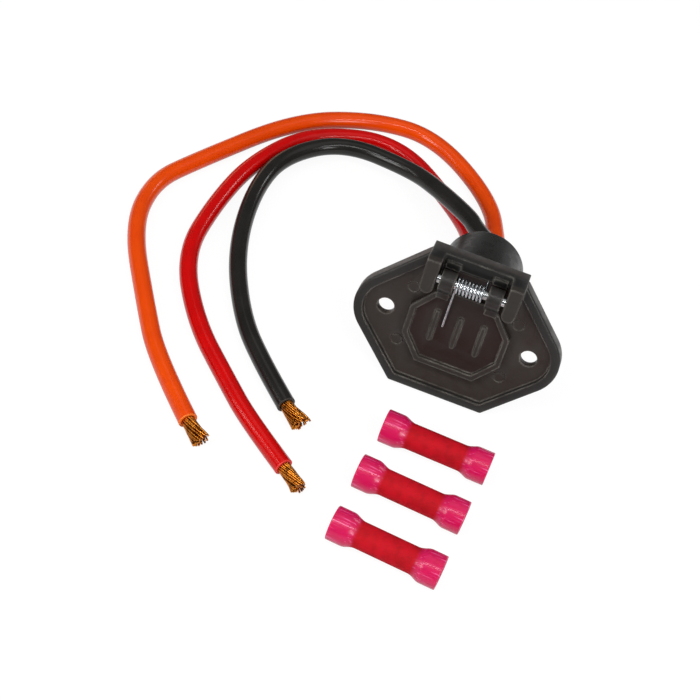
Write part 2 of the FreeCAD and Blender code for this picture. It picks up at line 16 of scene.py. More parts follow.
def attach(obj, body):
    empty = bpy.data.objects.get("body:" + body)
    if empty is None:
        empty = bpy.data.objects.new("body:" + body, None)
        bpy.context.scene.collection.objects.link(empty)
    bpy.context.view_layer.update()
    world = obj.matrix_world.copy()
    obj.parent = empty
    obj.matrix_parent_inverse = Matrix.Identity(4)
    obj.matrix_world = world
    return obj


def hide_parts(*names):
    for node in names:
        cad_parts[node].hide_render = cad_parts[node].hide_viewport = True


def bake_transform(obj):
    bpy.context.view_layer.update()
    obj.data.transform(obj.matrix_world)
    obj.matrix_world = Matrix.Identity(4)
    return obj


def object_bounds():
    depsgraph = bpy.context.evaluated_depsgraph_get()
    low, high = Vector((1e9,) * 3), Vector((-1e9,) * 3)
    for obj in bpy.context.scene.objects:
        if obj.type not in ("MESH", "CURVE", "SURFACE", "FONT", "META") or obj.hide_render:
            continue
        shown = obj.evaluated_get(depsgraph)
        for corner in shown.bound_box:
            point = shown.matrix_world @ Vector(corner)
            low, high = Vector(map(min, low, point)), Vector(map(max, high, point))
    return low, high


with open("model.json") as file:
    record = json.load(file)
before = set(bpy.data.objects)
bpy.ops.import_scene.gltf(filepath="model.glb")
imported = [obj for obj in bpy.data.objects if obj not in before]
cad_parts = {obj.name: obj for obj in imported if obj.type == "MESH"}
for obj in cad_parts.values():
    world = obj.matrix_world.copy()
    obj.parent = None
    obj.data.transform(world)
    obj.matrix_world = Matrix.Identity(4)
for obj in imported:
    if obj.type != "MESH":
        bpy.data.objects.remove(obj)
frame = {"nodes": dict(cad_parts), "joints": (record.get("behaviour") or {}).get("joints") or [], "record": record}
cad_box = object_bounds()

log = logging.getLogger("receptacle")

MM = 0.001

# Points nearer to each other than this are one: in a CAD node, in a turned shape and in a wire.
CAD_WELD, TURNED_WELD, WIRE_WELD = 0.002 * MM, 0.001 * MM, 0.0005 * MM

# Facets that meet at less than FLAT are one flat. Shading breaks where an edge turns by more than
# SHARP, or WIRE_SHARP on a wire, and a moulded edge that turns by more than ROUNDED is rounded.
FLAT = math.radians(0.6)
SHARP = math.radians(35)
WIRE_SHARP = math.radians(50)
ROUNDED = math.radians(40)

# Sockets of the Map Range and colour Mix nodes, by number because their names repeat.
FROM_LOW, FROM_HIGH, TO_LOW, TO_HIGH = 1, 2, 3, 4
FIRST, SECOND, MIXED = 6, 7, 2
SMOOTH_STEP = {"interpolation_type": "SMOOTHSTEP"}
MIX_COLOURS = {"data_type": "RGBA"}
WHOLE_NOISE = {FROM_LOW: 0.3, FROM_HIGH: 0.7}  # Noise lies between these levels.


# ---- colours, nodes and meshes ------------------------------------------------------------------
def linear(code: str) -> tuple[float, float, float, float]:
    """Turns an sRGB hex colour into a linear one.

    Args:
        code: Colour such as "#3A3431".

    Returns:
        Red, green, blue and alpha, linear.
    """
    channels = [int(code[i:i + 2], 16) / 255 for i in (1, 3, 5)]
    lit = [c / 12.92 if c <= 0.04045 else ((c + 0.055) / 1.055) ** 2.4 for c in channels]
    return lit[0], lit[1], lit[2], 1.0


def add_node(
    tree: bpy.types.NodeTree,
    kind: str,
    settings: dict[str | int, Any] | None = None,
    links: dict[str | int, bpy.types.Node | bpy.types.NodeSocket] | None = None,
) -> bpy.types.Node:
    """Adds a shader node.

    Args:
        tree: Node tree that gets it.
        kind: Blender's name of the node's type, without its leading "ShaderNode".
        settings: Values by property name, input name or input number.
        links: Outputs, or nodes whose first output counts, by input name or input number.

    Returns:
        The new node.
    """
    node = tree.nodes.new("ShaderNode" + kind)
    for key, value in (settings or {}).items():
        if isinstance(key, str) and key not in node.inputs:
            setattr(node, key, value)
        else:
            node.inputs[key].default_value = value
    for key, source in (links or {}).items():
        output = source.outputs[0] if isinstance(source, bpy.types.Node) else source
        tree.links.new(output, node.inputs[key])
    return node


def new_piece(name: str, shape: bmesh.types.BMesh, finish: bpy.types.Material) -> bpy.types.Object:
    """Makes an object from a bmesh and frees the bmesh.

    Args:
        name: Name of the piece.
        shape: Its shape, in the row's frame.
        finish: Its material.

    Returns:
        The new object, at the origin.
    """
    mesh = bpy.data.meshes.new(name)
    shape.to_mesh(mesh)
    shape.free()
    mesh.materials.append(finish)
    piece = bpy.data.objects.new(name, mesh)
    bpy.context.scene.collection.objects.link(piece)
    return piece


def smooth(shape: bmesh.types.BMesh, sharp_angle: float = SHARP) -> None:
    """Shades a shape smooth, apart from its sharp edges.

    Args:
        shape: The shape.
        sharp_angle: An edge that turns by more stays sharp.
    """
    for face in shape.faces:
        face.smooth = True
    for edge in shape.edges:
        edge.smooth = edge.calc_face_angle(math.pi) < sharp_angle


def merged_copy(node: str) -> bmesh.types.BMesh:
    """Copies a CAD node's mesh, with its loose triangles joined and its flats cleaned up.

    Args:
        node: The CAD node.

    Returns:
        The copy, with no face of more than four sides.
    """
    shape = bmesh.new()
    shape.from_mesh(frame["nodes"][node].data)
    bmesh.ops.remove_doubles(shape, verts=shape.verts, dist=CAD_WELD)
    bmesh.ops.dissolve_limit(
        shape, angle_limit=FLAT, use_dissolve_boundaries=False,
        verts=shape.verts, edges=shape.edges, delimit=set(),
    )
    wide = [f for f in shape.faces if len(f.verts) > 4]
    bmesh.ops.triangulate(shape, faces=wide, ngon_method="BEAUTY")
    return shape


def soft_edged(
    node: str, name: str, body: str, finish: bpy.types.Material, width: float,
) -> bpy.types.Object:
    """Makes the piece that stands for a moulded CAD node, with its edges rounded.

    Args:
        node: The CAD node.
        name: Name of the piece.
        body: Body that it rides on.
        finish: Its material.
        width: How far each edge is rounded.

    Returns:
        The new piece.
    """
    shape = merged_copy(node)
    bmesh.ops.bevel(
        shape, geom=[e for e in shape.edges if e.calc_face_angle(0) > ROUNDED],
        offset=width, offset_type="OFFSET", affect="EDGES", segments=2, profile=0.5,
        material=-1, clamp_overlap=False,
    )
    smooth(shape)
    piece = new_piece(name, shape, finish)
    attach(piece, body)
    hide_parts(node)
    return piece


def dress(node: str, finish: bpy.types.Material) -> None:
    """Gives a CAD node its finish and reports it.

    Args:
        node: The CAD node, whose mesh stays as it is.
        finish: Its material.
    """
    piece = frame["nodes"][node]
    piece.data.materials.clear()
    piece.data.materials.append(finish)
    log.info("%s: dressed in %s", node, finish.name)


def spin_profile(
    profile: list[tuple[float, float]], place: Matrix, steps: int,
) -> bmesh.types.BMesh:
    """Turns a closed outline about the local X axis.

    Args:
        profile: Points as (along the axis, radius).
        place: Moves the local frame to the row's frame.
        steps: Faces round the axis.

    Returns:
        The turned shape.
    """
    shape = bmesh.new()
    points = [shape.verts.new((x, 0, radius)) for x, radius in profile]
    outline = [shape.edges.new(pair) for pair in zip(points, points[1:] + points[:1])]
    bmesh.ops.spin(
        shape, geom=points + outline, cent=(0, 0, 0), axis=(1, 0, 0), angle=math.tau,
        steps=steps, use_merge=True, use_normal_flip=False,
    )
    bmesh.ops.remove_doubles(shape, verts=shape.verts, dist=TURNED_WELD)
    bmesh.ops.recalc_face_normals(shape, faces=shape.faces)
    bmesh.ops.transform(shape, matrix=place, verts=shape.verts)
    return shape


def arc(
    centre: tuple[float, float], radius: float, first: float, last: float, steps: int = 5,
) -> list[tuple[float, float]]:
    """Gives the points of an outline's rounded corner.

    Args:
        centre: Centre of the arc.
        radius: Its radius.
        first: Angle of the first point, in degrees.
        last: Angle of the last point, in degrees.
        steps: Steps between them.

    Returns:
        The points, both ends included.
    """
    turns = [math.radians(first + (last - first) * i / steps) for i in range(steps + 1)]
    return [(centre[0] + radius * math.cos(t), centre[1] + radius * math.sin(t)) for t in turns]


def tube_along(path: list[Vector], radius: float, resolution: int = 4) -> bmesh.types.BMesh:
    """Sweeps a round wire with capped ends along points.

    Args:
        path: Points of its centre line.
        radius: The wire's radius.
        resolution: Steps in a quarter of its section.

    Returns:
        The wire's shape.
    """
    curve = bpy.data.curves.new("wire_path", "CURVE")
    curve.dimensions = "3D"
    curve.bevel_depth = radius
    curve.bevel_resolution = resolution
    curve.use_fill_caps = True
    line = curve.splines.new("POLY")
    line.points.add(len(path) - 1)
    for point, place in zip(line.points, path):
        point.co = (*place, 1)
    holder = bpy.data.objects.new("wire_path", curve)
    mesh = bpy.data.meshes.new_from_object(holder)
    shape = bmesh.new()
    shape.from_mesh(mesh)
    bpy.data.objects.remove(holder)
    bpy.data.curves.remove(curve)
    bpy.data.meshes.remove(mesh)
    bmesh.ops.remove_doubles(shape, verts=shape.verts, dist=WIRE_WELD)
    smooth(shape, WIRE_SHARP)
    return shape


# ---- the record's places ------------------------------------------------------------------------
def mount(name: str) -> dict[str, Any]:
    """Gives the record's mount of a name."""
    return next(m for m in frame["record"]["mounts"] if m["name"] == name)


def joint(name: str) -> dict[str, Any]:
    """Gives the record's joint of a name."""
    return next(j for j in frame["joints"] if j["name"] == name)


# The receptacle leans back on the table. Its own upright frame has the mounting face on Y = 0.
FRONT = Vector(mount("panel_screws")["axis"])
LEAN = math.atan2(FRONT.z, -FRONT.y)
UPRIGHT_TO_ROW = Matrix.Rotation(-LEAN, 4, "X")
ROW_TO_UPRIGHT = UPRIGHT_TO_ROW.inverted()
TABLE = cad_box[0].z


def upright_box(node: str) -> tuple[Vector, Vector]:
    """Measures a CAD node in the receptacle's upright frame.

    Args:
        node: The CAD node.

    Returns:
        Its lowest and its highest corner.
    """
    points = [ROW_TO_UPRIGHT @ v.co for v in frame["nodes"][node].data.vertices]
    low = Vector([min(p[i] for p in points) for i in range(3)])
    high = Vector([max(p[i] for p in points) for i in range(3)])
    return low, high


# ---- finishes -----------------------------------------------------------------------------------
@dataclass(frozen=True)
class Finish:
    """How one real material looks, drawn with shader nodes."""

    name: str

    def material(self) -> bpy.types.Material:
        """Builds the material.

        Returns:
            The material, named for what it is.
        """
        made = bpy.data.materials.new(self.name)
        made.use_nodes = True
        made.node_tree.nodes.clear()
        shader = self.shader(made.node_tree)
        add_node(made.node_tree, "OutputMaterial", None, {"Surface": shader})
        return made

    def shader(self, tree: bpy.types.NodeTree) -> bpy.types.Node:
        """Adds the finish's nodes.

        Args:
            tree: Node tree that gets them.

        Returns:
            The node whose first output is the surface.
        """
        raise NotImplementedError

    def mottled(
        self, tree: bpy.types.NodeTree, pattern: bpy.types.Node, levels: tuple[float, float],
        colours: tuple[str, str],
    ) -> bpy.types.NodeSocket:
        """Mixes two colours by a pattern.

        Args:
            tree: Node tree that gets the nodes.
            pattern: Node whose first output is the pattern.
            levels: Where in the pattern the second colour starts and is full.
            colours: The two colours, in sRGB hex.

        Returns:
            The mixed colour.
        """
        span = {FROM_LOW: levels[0], FROM_HIGH: levels[1]}
        share = add_node(tree, "MapRange", SMOOTH_STEP | span, {0: pattern})
        pair = {FIRST: linear(colours[0]), SECOND: linear(colours[1])}
        return add_node(tree, "Mix", MIX_COLOURS | pair, {0: share}).outputs[MIXED]


@dataclass(frozen=True)
class MouldedNylon(Finish):
    """Black nylon 66, moulded in a spark-eroded tool: a satin skin with a fine grain.

    The grain breaks highlights up and flow in the tool leaves broad brownish and greenish clouds.
    Layers paint light and shade by depth: the deep floors are painted browner than what stands
    proud. The edges are painted paler in places, partly as handling wear, partly as a painted
    highlight. A layer is a colour with the levels, along the socket's axis, where it starts and
    is full.
    The grain is drawn coarser than the tool's, which is too fine to show.
    """

    colour: str
    warm_colour: str
    edge_wear_and_highlight_colour: str
    painted_light_layers: tuple[tuple[float, float, str], ...] = ()
    roughness: float = 0.42
    gloss: float = 0.34
    grain: float = 0.35 * MM
    grain_depth: float = 0.02 * MM
    grain_strength: float = 0.7
    cloud: float = 9 * MM
    smear: float = 3.2 * MM
    smear_depth: float = 0.02 * MM
    handling: float = 6 * MM
    edge_share: float = 0.85
    edge_least: float = 0.35
    edge_reach: float = 1.1 * MM

    def shader(self, tree: bpy.types.NodeTree) -> bpy.types.Node:
        """Adds the finish's nodes.

        Args:
            tree: Node tree that gets them.

        Returns:
            The shader.
        """
        place = add_node(tree, "TexCoord").outputs["Object"]
        upright = {"vector_type": "TEXTURE", "Rotation": Vector((-LEAN, 0, 0))}
        where = add_node(tree, "Mapping", upright, {0: place})
        level = add_node(tree, "SeparateXYZ", None, {0: where}).outputs["Y"]

        clouds = add_node(tree, "TexNoise", {"Scale": 1 / self.cloud, "Detail": 4.0}, {0: where})
        body = self.mottled(tree, clouds, (0.35, 0.68), (self.colour, self.warm_colour))
        # Painted light and shade: each layer paints its colour over the body by depth.
        for start, end, colour in self.painted_light_layers:
            span = {FROM_LOW: start, FROM_HIGH: end}
            share = add_node(tree, "MapRange", SMOOTH_STEP | span, {0: level})
            paint = MIX_COLOURS | {SECOND: linear(colour)}
            body = add_node(tree, "Mix", paint, {0: share, FIRST: body}).outputs[MIXED]

        # A rounded normal that departs from the plain one marks an edge, which is painted paler:
        # partly handling wear, partly a painted highlight.
        rounded = add_node(tree, "Bevel", {"samples": 6, "Radius": self.edge_reach})
        plain = add_node(tree, "NewGeometry").outputs["Normal"]
        agreement = add_node(
            tree, "VectorMath", {"operation": "DOT_PRODUCT"}, {0: rounded, 1: plain},
        ).outputs["Value"]
        span = {FROM_LOW: 0.993, FROM_HIGH: 0.88}
        edge = add_node(tree, "MapRange", SMOOTH_STEP | span, {0: agreement})
        touch = add_node(tree, "TexNoise", {"Scale": 1 / self.handling, "Detail": 3.0}, {0: where})
        span = {
            FROM_LOW: 0.36, FROM_HIGH: 0.62,
            TO_LOW: self.edge_least * self.edge_share, TO_HIGH: self.edge_share,
        }
        rub = add_node(tree, "MapRange", SMOOTH_STEP | span, {0: touch})
        worn_and_highlit_edge = add_node(tree, "Math", {"operation": "MULTIPLY"}, {0: edge, 1: rub})
        paint = MIX_COLOURS | {SECOND: linear(self.edge_wear_and_highlight_colour)}
        colour = add_node(tree, "Mix", paint, {0: worn_and_highlit_edge, FIRST: body}).outputs[MIXED]

        smear = add_node(tree, "TexNoise", {"Scale": 1 / self.smear, "Detail": 3.0}, {0: where})
        spread = {TO_LOW: self.roughness - 0.06, TO_HIGH: self.roughness + 0.08}
        rough = add_node(tree, "MapRange", SMOOTH_STEP | WHOLE_NOISE | spread, {0: smear})
        waves = add_node(tree, "Bump", {"Distance": self.smear_depth}, {"Height": smear})
        fine = add_node(tree, "TexNoise", {"Scale": 1 / self.grain, "Detail": 2.0}, {0: where})
        skin = add_node(
            tree, "Bump", {"Strength": self.grain_strength, "Distance": self.grain_depth},
            {"Height": fine, "Normal": waves},
        )
        return add_node(
            tree, "BsdfPrincipled", {"IOR": 1.5, "Specular IOR Level": self.gloss},
            {"Base Color": colour, "Roughness": rough, "Normal": skin},
        )


@dataclass(frozen=True)
class ExtrudedVinyl(Finish):
    """Flexible PVC insulation, extruded over the strands: evenly coloured and glossy.

    Handling leaves soft dents and a little dust in it, so that its long highlights waver.
    """

    colour: str
    shade_colour: str
    roughness: float = 0.20
    gloss: float = 0.28
    dent: float = 9 * MM
    dent_depth: float = 0.05 * MM
    dust: float = 0.9 * MM
    dust_depth: float = 0.0006 * MM
    dust_strength: float = 0.6

    def shader(self, tree: bpy.types.NodeTree) -> bpy.types.Node:
        """Adds the finish's nodes.

        Args:
            tree: Node tree that gets them.

        Returns:
            The shader.
        """
        where = add_node(tree, "TexCoord").outputs["Object"]
        broad = add_node(tree, "TexNoise", {"Scale": 1 / self.dent, "Detail": 2.0}, {0: where})
        colour = self.mottled(tree, broad, (0.35, 0.75), (self.colour, self.shade_colour))
        fine = add_node(tree, "TexNoise", {"Scale": 1 / self.dust, "Detail": 1.0}, {0: where})
        spread = {TO_LOW: self.roughness - 0.01, TO_HIGH: self.roughness + 0.02}
        rough = add_node(tree, "MapRange", SMOOTH_STEP | WHOLE_NOISE | spread, {0: fine})
        dents = add_node(tree, "Bump", {"Distance": self.dent_depth}, {"Height": broad})
        skin = add_node(
            tree, "Bump", {"Strength": self.dust_strength, "Distance": self.dust_depth},
            {"Height": fine, "Normal": dents},
        )
        return add_node(
            tree, "BsdfPrincipled", {"IOR": 1.5, "Specular IOR Level": self.gloss},
            {"Base Color": colour, "Roughness": rough, "Normal": skin},
        )


@dataclass(frozen=True)
class DrawnCopper(Finish):
    """Soft drawn copper strands: bright, and brown where they have tarnished."""

    colour: str
    tarnish_colour: str
    roughness: float = 0.26
    stain: float = 1.6 * MM
    drag: float = 0.5 * MM

    def shader(self, tree: bpy.types.NodeTree) -> bpy.types.Node:
        """Adds the finish's nodes.

        Args:
            tree: Node tree that gets them.

        Returns:
            The shader.
        """
        where = add_node(tree, "TexCoord").outputs["Object"]
        stain = add_node(tree, "TexNoise", {"Scale": 1 / self.stain, "Detail": 3.0}, {0: where})
        colour = self.mottled(tree, stain, (0.42, 0.76), (self.colour, self.tarnish_colour))
        drag = add_node(tree, "TexNoise", {"Scale": 1 / self.drag, "Detail": 3.0}, {0: where})
        spread = {TO_LOW: self.roughness - 0.08, TO_HIGH: self.roughness + 0.14}
        rough = add_node(tree, "MapRange", SMOOTH_STEP | WHOLE_NOISE | spread, {0: drag})
        return add_node(
            tree, "BsdfPrincipled", {"Metallic": 1.0}, {"Base Color": colour, "Roughness": rough},
        )


@dataclass(frozen=True)
class PlatedMetal(Finish):
    """Metal with a thin bright plating or a turned skin: fine marks and a few dull patches."""

    colour: str
    dull_colour: str
    roughness: float
    patch: float = 1.6 * MM
    mark: float = 0.12 * MM
    mark_depth: float = 0.004 * MM
    mark_strength: float = 0.5

    def shader(self, tree: bpy.types.NodeTree) -> bpy.types.Node:
        """Adds the finish's nodes.

        Args:
            tree: Node tree that gets them.

        Returns:
            The shader.
        """
        where = add_node(tree, "TexCoord").outputs["Object"]
        patch = add_node(tree, "TexNoise", {"Scale": 1 / self.patch, "Detail": 3.0}, {0: where})
        colour = self.mottled(tree, patch, (0.4, 0.75), (self.colour, self.dull_colour))
        spread = {TO_LOW: self.roughness - 0.05, TO_HIGH: self.roughness + 0.10}
        rough = add_node(tree, "MapRange", SMOOTH_STEP | WHOLE_NOISE | spread, {0: patch})
        marks = add_node(tree, "TexNoise", {"Scale": 1 / self.mark, "Detail": 1.0}, {0: where})
        skin = add_node(
            tree, "Bump", {"Strength": self.mark_strength, "Distance": self.mark_depth},
            {"Height": marks},
        )
        return add_node(
            tree, "BsdfPrincipled", {"Metallic": 1.0},
            {"Base Color": colour, "Roughness": rough, "Normal": skin},
        )


@dataclass(frozen=True)
class MouldedRubber(Finish):
    """Moulded neoprene: matt, nearly black, with patches of pale powder bloom."""

    colour: str
    bloom_colour: str
    roughness: float = 0.68
    powder: float = 1.8 * MM
    grain: float = 0.25 * MM
    grain_depth: float = 0.02 * MM
    grain_strength: float = 0.6

    def shader(self, tree: bpy.types.NodeTree) -> bpy.types.Node:
        """Adds the finish's nodes.

        Args:
            tree: Node tree that gets them.

        Returns:
            The shader.
        """
        where = add_node(tree, "TexCoord").outputs["Object"]
        powder = add_node(tree, "TexNoise", {"Scale": 1 / self.powder, "Detail": 4.0}, {0: where})
        colour = self.mottled(tree, powder, (0.45, 0.75), (self.colour, self.bloom_colour))
        fine = add_node(tree, "TexNoise", {"Scale": 1 / self.grain, "Detail": 3.0}, {0: where})
        skin = add_node(
            tree, "Bump", {"Strength": self.grain_strength, "Distance": self.grain_depth},
            {"Height": fine},
        )
        return add_node(
            tree, "BsdfPrincipled", {"IOR": 1.52, "Roughness": self.roughness},
            {"Base Color": colour, "Normal": skin},
        )


@dataclass(frozen=True)
class SpliceVinyl(Finish):
    """Translucent dyed PVC sleeve, heat-flared at both ends.

    Over the metal tube it looks deep red and rather dull. Past the tube it lets light through, so
    that it looks pink, and drawing the flare leaves it glossy with pale lengthwise streaks.
    """

    centre: Vector
    turn: float
    covered: float
    colour: str = "#B8061A"
    deep_colour: str = "#A20412"
    open_colour: str = "#C60E50"
    streak_colour: str = "#E55A92"
    dull_roughness: float = 0.75
    flare_roughness: float = 0.40
    gloss: float = 0.18
    coat: float = 0.42
    coat_roughness: float = 0.22
    glow_weight: float = 0.2
    glow_reach: tuple[float, float, float] = (2.0 * MM, 0.5 * MM, 0.8 * MM)
    cloud: float = 4.5 * MM
    ripple: float = 3 * MM
    ripple_depth: float = 0.03 * MM
    streak: float = 0.55 * MM
    streak_stretch: float = 0.05
    streak_depth: float = 0.02 * MM
    streak_strength: float = 0.6

    def shader(self, tree: bpy.types.NodeTree) -> bpy.types.Node:
        """Adds the finish's nodes.

        Args:
            tree: Node tree that gets them.

        Returns:
            The shader.
        """
        place = add_node(tree, "TexCoord").outputs["Object"]
        lying = {"Location": self.centre, "Rotation": Vector((0, 0, self.turn))}
        where = add_node(tree, "Mapping", {"vector_type": "TEXTURE"} | lying, {0: place})
        along = add_node(tree, "SeparateXYZ", None, {0: where}).outputs["X"]
        reach = add_node(tree, "Math", {"operation": "ABSOLUTE"}, {0: along})
        tube_end = {FROM_LOW: self.covered - 0.6 * MM, FROM_HIGH: self.covered + 1.6 * MM}
        opened = add_node(tree, "MapRange", SMOOTH_STEP | tube_end, {0: reach})

        clouds = add_node(tree, "TexNoise", {"Scale": 1 / self.cloud, "Detail": 3.0}, {0: where})
        middle = self.mottled(tree, clouds, (0.4, 0.72), (self.colour, self.deep_colour))
        stretch = Vector((self.streak_stretch, 1, 1))
        drawn = add_node(tree, "Mapping", {"Scale": stretch}, {0: where})
        streaks = add_node(tree, "TexNoise", {"Scale": 1 / self.streak, "Detail": 2.0}, {0: drawn})
        flare = self.mottled(tree, streaks, (0.56, 0.72), (self.open_colour, self.streak_colour))
        both = {0: opened, FIRST: middle, SECOND: flare}
        colour = add_node(tree, "Mix", MIX_COLOURS, both).outputs[MIXED]

        ripples = add_node(tree, "TexNoise", {"Scale": 1 / self.ripple, "Detail": 2.0}, {0: where})
        waves = add_node(tree, "Bump", {"Distance": self.ripple_depth}, {"Height": ripples})
        skin = add_node(
            tree, "Bump", {"Strength": self.streak_strength, "Distance": self.streak_depth},
            {"Height": streaks, "Normal": waves},
        )
        spread = {TO_LOW: self.dull_roughness, TO_HIGH: self.flare_roughness}
        rough = add_node(tree, "MapRange", spread, {0: opened})
        coat = add_node(tree, "Math", {"operation": "MULTIPLY", 1: self.coat}, {0: opened})
        constants = {
            "IOR": 1.5, "Specular IOR Level": self.gloss, "Coat Roughness": self.coat_roughness,
            "Subsurface Weight": self.glow_weight, "Subsurface Scale": 1.0,
            "Subsurface Radius": Vector(self.glow_reach),
        }
        varied = {"Base Color": colour, "Roughness": rough, "Normal": skin, "Coat Weight": coat}
        return add_node(tree, "BsdfPrincipled", constants, varied)


class Finishes:
    """Every finish of the receptacle's own pieces, built once."""

    def __init__(self) -> None:
        """Builds the materials."""
        # The third colour of each moulded finish paints its edges paler: partly wear, partly a painted highlight.
        # Light and shade painted by depth: the floor within the lip is painted brownish, the hood nearly
        # black as painted shade, and its front faces brown as painted light.
        self.flange = MouldedNylon(
            "flange_nylon", "#1E1D1C", "#22201E", "#7A766F",
            painted_light_layers=(
                (-3.9 * MM, -3.3 * MM, "#2C2622"),
                (-5.6 * MM, -6.2 * MM, "#0F0F0E"),
                (-10.5 * MM, -10.9 * MM, "#27231F"),
            ),
        ).material()
        # A shade warmer than the flange, with painted shade by depth: darker and brownest on the floor
        # between its ribs, and darker on the straps and knuckles that stand proud.
        self.lid = MouldedNylon(
            "lid_nylon", "#292623", "#2D2926", "#7E7A72", roughness=0.40, gloss=0.30,
            painted_light_layers=((-5.4 * MM, -4.8 * MM, "#241A17"), (-7.0 * MM, -7.6 * MM, "#24211F")),
        ).material()
        # Out of a smoother tool: nearly black, with a soft sheen along its side.
        self.barrel = MouldedNylon(
            "barrel_nylon", "#141514", "#191816", "#6C6A64", roughness=0.30, gloss=0.09,
            grain_depth=0.003 * MM, smear_depth=0.004 * MM,
        ).material()
        # Plain charcoal, which shows only in the open socket.
        self.insert = MouldedNylon("insert_nylon", "#2B2A2A", "#302C2B", "#484642").material()
        # Matt black with a pale bloom: the seals.
        self.rubber = MouldedRubber("moulded_neoprene", "#1F1F1E", "#34322F").material()
        # Warm yellow with turning marks: the contacts.
        self.brass = PlatedMetal("turned_brass", "#D6B667", "#A98A44", 0.24).material()
        # Cool and bright with duller patches: the pin's ends.
        self.zinc = PlatedMetal("zinc_plated_steel", "#D5D8DA", "#A9ACAC", 0.22).material()
        # Nearly a mirror, so that each turn has its own highlight.
        self.spring = PlatedMetal("bright_spring_wire", "#BEC2C5", "#92969A", 0.16).material()
        # Pale and soft: the tubes in the splices.
        self.tin = PlatedMetal("tinned_copper", "#CFCBC2", "#A8A197", 0.32).material()
        # Bright orange with brown patches: the strands.
        self.copper = DrawnCopper("soft_drawn_copper", "#C87A28", "#552C0C").material()


# ---- receptacle ---------------------------------------------------------------------------------
class LeadColour(Enum):
    """The three circuits by the colour of their insulation."""

    BLACK = "black"
    RED = "red"
    ORANGE = "orange"


@dataclass
class Housing:
    """Flange with its hood, the barrel behind it, and what the barrel holds."""

    finishes: Finishes
    body: str = "receptacle"
    edge_round: float = 0.3 * MM
    barrel_wall: float = 1.75 * MM
    rim_round: float = 0.6 * MM
    barrel_steps: int = 128

    def build(self) -> list[bpy.types.Object]:
        """Builds the housing's pieces and dresses what it holds.

        Returns:
            The new pieces.
        """
        flange = soft_edged(
            "front_flange", "flange_plate", self.body, self.finishes.flange, self.edge_round,
        )
        barrel = self.barrel()
        dress("wire_seal", self.finishes.rubber)
        dress("hinge_pin", self.finishes.zinc)
        dress("socket_insert", self.finishes.insert)
        for colour in LeadColour:
            dress("contact_" + colour.value, self.finishes.brass)
        return [flange, barrel]

    def barrel(self) -> bpy.types.Object:
        """Turns the barrel with a rounded rear rim.

        Returns:
            The new piece.
        """
        high = upright_box("rear_barrel")[1]
        length, radius = high.y, high.x
        bore = radius - self.barrel_wall
        rim = self.rim_round
        inner = rim / 2
        profile = [(0.0, bore), (0.0, radius)]
        profile += arc((length - rim, radius - rim), rim, 90, 0)
        profile += arc((length - inner, bore + inner), inner, 0, -90)
        place = UPRIGHT_TO_ROW @ Matrix.Rotation(math.pi / 2, 4, "Z")
        shape = spin_profile(profile, place, self.barrel_steps)
        smooth(shape)
        piece = new_piece("barrel_shell", shape, self.finishes.barrel)
        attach(piece, self.body)
        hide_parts("rear_barrel")
        return piece


@dataclass
class SprungLid:
    """Lid with its seal, and the torsion spring that holds it shut.

    The rests are the levels, along the socket's axis, that the spring's leg and tail lie on.
    """

    finishes: Finishes
    body: str = "lid"
    edge_round: float = 0.25 * MM
    wire: float = 0.85 * MM
    coil_radius: float = 2.65 * MM
    turns: int = 8
    points_per_turn: int = 24
    leg_cut: float = 0.1 * MM
    tail_cut: float = 1.3 * MM
    leg_rest: float = -4.65 * MM
    tail_rest: float = -6.05 * MM

    def build(self) -> list[bpy.types.Object]:
        """Builds the lid and its spring and dresses its seal.

        Returns:
            The new pieces.
        """
        plate = soft_edged(
            "lid", "lid_plate", self.body, self.finishes.lid, self.edge_round,
        )
        dress("lid_seal", self.finishes.rubber)
        return [plate, self.spring()]

    def leg_angle(self, end: Vector, centre: Vector, side: int) -> float:
        """Gives the angle at which a straight leg to a point leaves the coil."""
        dy, dz = end.y - centre.y, end.z - centre.z
        return math.atan2(dz, dy) + side * math.acos(self.coil_radius / math.hypot(dy, dz))

    def spring(self) -> bpy.types.Object:
        """Winds the spring, from its long leg through its turns to its tail.

        Returns:
            The new piece.
        """
        low, high = upright_box("torsion_spring")
        centre = ROW_TO_UPRIGHT @ Vector(joint("lid_hinge")["pos_m"])
        half = self.wire / 2
        left = low.x + half
        leg_end = Vector((left, self.leg_rest - half, low.z + self.leg_cut))
        tail_end = Vector((0, self.tail_rest - half, high.z - self.tail_cut))
        first = self.leg_angle(leg_end, centre, 1)
        last = self.leg_angle(tail_end, centre, -1)
        swept = (last - first) % math.tau + math.tau * (self.turns - 1)
        count = round(swept / math.tau * self.points_per_turn)
        path = [leg_end]
        for i in range(count + 1):
            share = i / count
            angle = first + swept * share
            path.append(Vector((
                left + (high.x - low.x - self.wire) * share,
                centre.y + self.coil_radius * math.cos(angle),
                centre.z + self.coil_radius * math.sin(angle),
            )))
        tail_end.x = path[-1].x
        path.append(tail_end)
        shape = tube_along([UPRIGHT_TO_ROW @ p for p in path], half)
        piece = new_piece("torsion_spring_wire", shape, self.finishes.spring)
        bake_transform(piece)
        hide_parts("torsion_spring")
        return piece


# ---- leads --------------------------------------------------------------------------------------
@dataclass(frozen=True)
class LeadPlan:
    """What sets one lead apart from the others.

    A lead runs on straight behind the wire seal and then from point to point, in plan with the
    rise above where it lies on the table. These and the lean of the strands' tips, aside and up,
    are in millimetres. The splay is how far the strands open out.
    """

    colour: LeadColour
    jacket: ExtrudedVinyl
    cut: ExtrudedVinyl
    length: float
    splay: float
    lean_out: tuple[float, float]
    seed: int
    straight: float
    points: tuple[tuple[float, float, float], ...]
